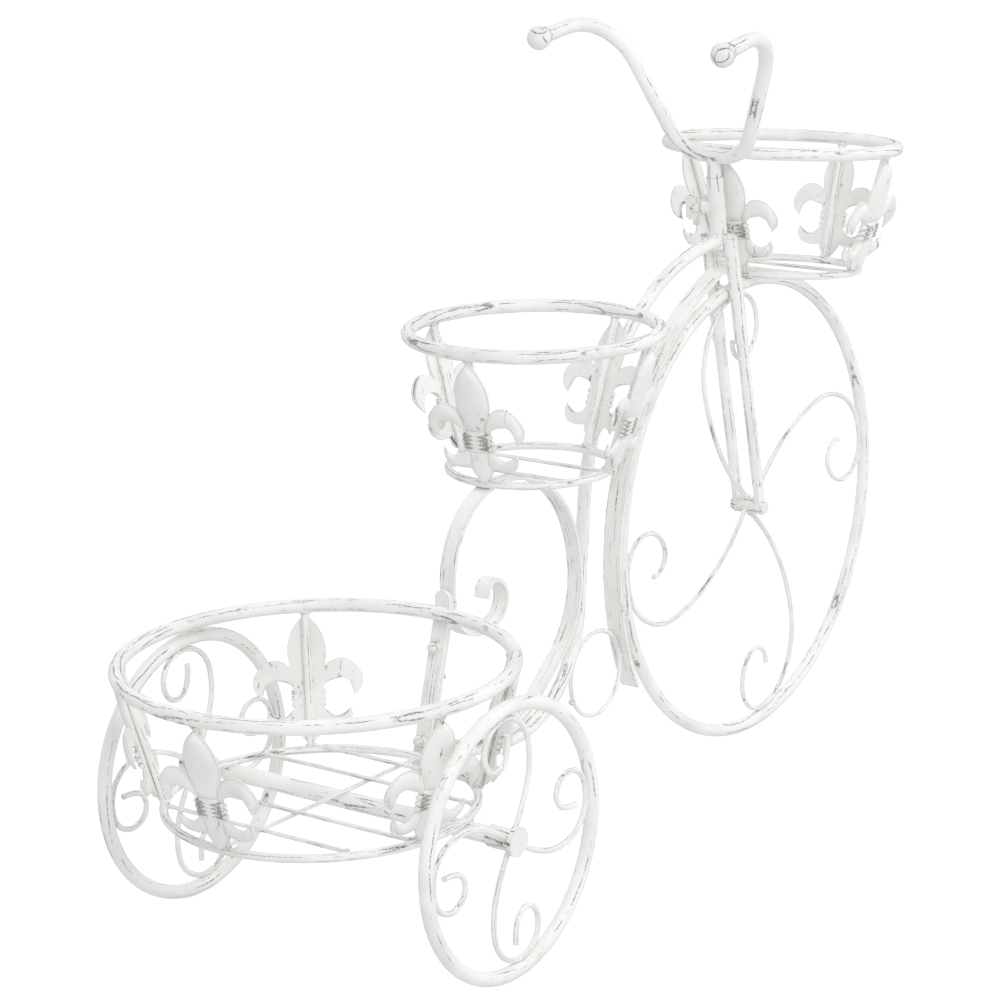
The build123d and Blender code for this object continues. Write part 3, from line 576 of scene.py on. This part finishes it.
# Fork legs on the head tube and on the big rim, and the backbone's end on the head tube
leg_up = (LEG_TOP - FRONT_HUB).normalized()
for side in (-1, 1):
    leg_mark = CROWN + Vector((0, side * 6.6, 0))
    rim_cross = FRONT_HUB + leg_up * FRONT_RIM_MIDDLE + Vector((0, side * 5.0, 0))
    beads += [
        (leg_mark + leg_up * 3, 4.4, ACROSS, 0.7),
        (leg_mark - leg_up * 6, 3.4, ACROSS, 0.7),
        (rim_cross + leg_up * 4, 3.4, leg_up, 0.55),
        (rim_cross - leg_up * 4, 3.2, leg_up, 0.55),
    ]
beads += [
    (CROWN + Vector((-7.4, 0, 4.2)), 3.6, CROWN_BACK, 0.6),
    (CROWN + Vector((-7.4, 0, -5.0)), 3.2, CROWN_BACK, 0.6),
]

# Front basket on the rim, middle basket on the arch, brace ring between its neighbours
for shift in (-4.2, 4.2):
    beads.append((FRONT_RING_BACK + Vector((0, shift, -1.6)), 2.8, UPWARD, 0.6))
for shift in (-5.0, 0.0, 5.0):
    beads.append((MIDDLE_CREST + Vector((-8.4, shift, 0.4)), 2.9, UPWARD, 0.7))
for angle in (205, 10):
    out = Vector((cos(radians(angle)), 0, sin(radians(angle))))
    beads.append((BRACE_CENTRE + out * (BRACE_RADIUS + 2.2), 3.0, out, 0.6))

# Cart bar on both rings, tongue on the loop strip, lengthwise floor wire, axle tube
for shift in (-4.5, 4.5):
    for middle in (BAR_TOUCH, BAR_TOUCH + BAR_RISE * BAR_TO_TOP_RING):
        beads.append((middle + Vector((0, shift, 0)), 2.3, BAR_OUT, 0.6))
for across_place, height in ((5.6, 150.0), (5.6, 166.0), (5.6, 182.0), (-5.6, 205.0)):
    beads.append(((-149.4, across_place, height), 2.0, ACROSS, 0.7))
beads += [
    ((-361.6, 78.0, 102.6), 2.2, AHEAD, 0.7),
    ((-224.4, -78.0, 102.6), 2.2, AHEAD, 0.7),
    ((-186.0, 3.4, 101.0), 2.4, AHEAD, 0.7),
]
for side in (-1, 1):
    beads.append(((-266.0 + 2.5, side * 100.6, 101.6), 3.2, UPWARD, 0.6))

# Fender lug on the rim and on the fender
for distance, size in ((186.0, 2.9), (191.0, 2.6)):
    for side in (-1, 1):
        mark = FRONT_HUB + FENDER_LUG.normalized() * distance
        beads.append((mark + Vector((0, side * 4.0, 0)), size, FENDER_LUG, 0.6))

# Spokes of the big wheel, on the rim and on the hub
for count in range(SPOKES):
    turn = radians(FRONT_SPOKE_TOUCH - 90 * count)
    out = Vector((cos(turn), 0, sin(turn)))
    beads += [
        (FRONT_HUB + out * (FRONT_RIM_INNER - 0.6), 2.5, out, 0.55),
        (FRONT_HUB + out.cross(Vector(ACROSS)) * 6.2, 2.3, ACROSS, 0.9),
    ]
for bead in beads:
    frame_welds.append(weld(*bead))
finish_piece(join(frame_welds), "frame_weld_beads", "frame", weld_paint)

# Spokes of the small wheels
for side, side_name in ((1, "left"), (-1, "right")):
    wheel_welds = []
    hub = REAR_AXLE + Vector((0, side * TRACK_HALF, 0))
    for count in range(SPOKES):
        turn = radians(REAR_SPOKE_TOUCH - 90 * count)
        out = Vector((cos(turn), 0, sin(turn)))
        wheel_welds.append(weld(hub + out * (REAR_RIM_INNER - 0.6), 2.5, out, 0.55))
        root = radians(REAR_SPOKE_ROOT - 90 * count)
        root_mark = hub + Vector((cos(root), 0, sin(root))) * 7.7
        wheel_welds.append(weld(root_mark, 2.4, ACROSS, 0.9))
    finish_piece(
        join(wheel_welds), f"rear_{side_name}_weld_beads", f"rear_{side_name}_wheel",
        weld_paint,
    )

# Handlebar: a bead of weld round each ball's neck
bar_collars = []
handle_turn = Matrix.Rotation(BAR_TURN, 3, HEAD_UP)
for side in (-1, 1):
    end = Vector((BALL_END_X, side * BALL_END_Y, BALL_END_Z))
    along = Vector((0.98, -side * 0.10, 0.18)).normalized()
    neck = HEAD_FOOT + handle_turn @ (end + along * 3.4 - HEAD_FOOT)
    bar_collars.append(collar(neck, handle_turn @ along, 5.3, 1.5))
finish_piece(join(bar_collars), "grip_neck_beads", "handlebar", weld_paint)

# Camera at the photograph's place
CAMERA_PLACE = Vector((-1.8115, -1.2753, 0.8355))
AZIMUTH, DOWN, ROLL = radians(36.48), radians(14.92), radians(-1.16)
LENS_MM = 113.9
SENSOR_MM = 36.0
look = Vector((cos(AZIMUTH) * cos(DOWN), sin(AZIMUTH) * cos(DOWN), -sin(DOWN)))
right = Vector((sin(AZIMUTH), -cos(AZIMUTH), 0))
upward = right.cross(look)
right_rolled = right * cos(ROLL) + upward * sin(ROLL)
up_rolled = upward * cos(ROLL) - right * sin(ROLL)
camera_data = bpy.data.cameras.new("camera")
camera_data.lens = LENS_MM
camera_data.sensor_width = SENSOR_MM
camera = bpy.data.objects.new("camera", camera_data)
bpy.context.collection.objects.link(camera)
facing_frame = Matrix((right_rolled, up_rolled, -look)).transposed().to_4x4()
camera.matrix_world = Matrix.Translation(CAMERA_PLACE) @ facing_frame
bpy.context.scene.camera = camera

# Pale floor that keeps the stand's shadow. To the camera it glows up to the white surround.
deselect()
bpy.ops.mesh.primitive_plane_add(size=60, location=(0, 0, 0))
floor = bpy.context.active_object
floor.name = "studio_floor"
paper = bpy.data.materials.new("matt_white_paper")
paper.use_nodes = True
tree = paper.node_tree
tree.nodes.clear()
ray = node(tree, "ShaderNodeLightPath").outputs["Is Camera Ray"]
lit = node(tree, "ShaderNodeBsdfDiffuse", {"Color": colour("#E9E9E9")})
shaded = node(tree, "ShaderNodeBsdfDiffuse", {"Color": colour("#9A9A9A")})
glow = node(tree, "ShaderNodeEmission", {"Color": (1, 1, 1, 1), "Strength": 0.80})
both = node(tree, "ShaderNodeAddShader", {0: shaded.outputs[0], 1: glow.outputs[0]})
seen = node(tree, "ShaderNodeMixShader", {0: ray, 1: lit.outputs[0], 2: both.outputs[0]})
node(tree, "ShaderNodeOutputMaterial", {"Surface": seen.outputs[0]})
floor.data.materials.append(paper)

# White surround to the camera, and a softer sky that lights the stand
world = bpy.data.worlds.new("studio")
world.use_nodes = True
tree = world.node_tree
tree.nodes.clear()
ray = node(tree, "ShaderNodeLightPath").outputs["Is Camera Ray"]
soft = node(tree, "ShaderNodeBackground", {"Color": colour("#F6F7F8"), "Strength": 0.74})
white = node(tree, "ShaderNodeBackground", {"Color": (1, 1, 1, 1), "Strength": 1.0})
seen = node(tree, "ShaderNodeMixShader", {0: ray, 1: soft.outputs[0], 2: white.outputs[0]})
node(tree, "ShaderNodeOutputWorld", {"Surface": seen.outputs[0]})
bpy.context.scene.world = world

# Soft boxes: name, place, the point each faces, side in metres, watts
SOFT_BOXES = (
    ("key_softbox", (-1.4, -1.9, 2.4), (0, 0, 0.25), 1.6, 31),
    ("fill_softbox", (1.9, -1.6, 1.6), (0, 0, 0.25), 1.8, 13),
    ("back_softbox", (0.6, 2.2, 2.0), (0, 0, 0.3), 1.6, 13),
)
for name, place, target, size, watts in SOFT_BOXES:
    data = bpy.data.lights.new(name, "AREA")
    data.shape = "SQUARE"
    data.size = size
    data.energy = watts
    box = bpy.data.objects.new(name, data)
    bpy.context.collection.objects.link(box)
    box.location = place
    box.rotation_euler = (Vector(target) - Vector(place)).to_track_quat("-Z", "Y").to_euler()
bpy.context.scene.view_settings.view_transform = "Standard"
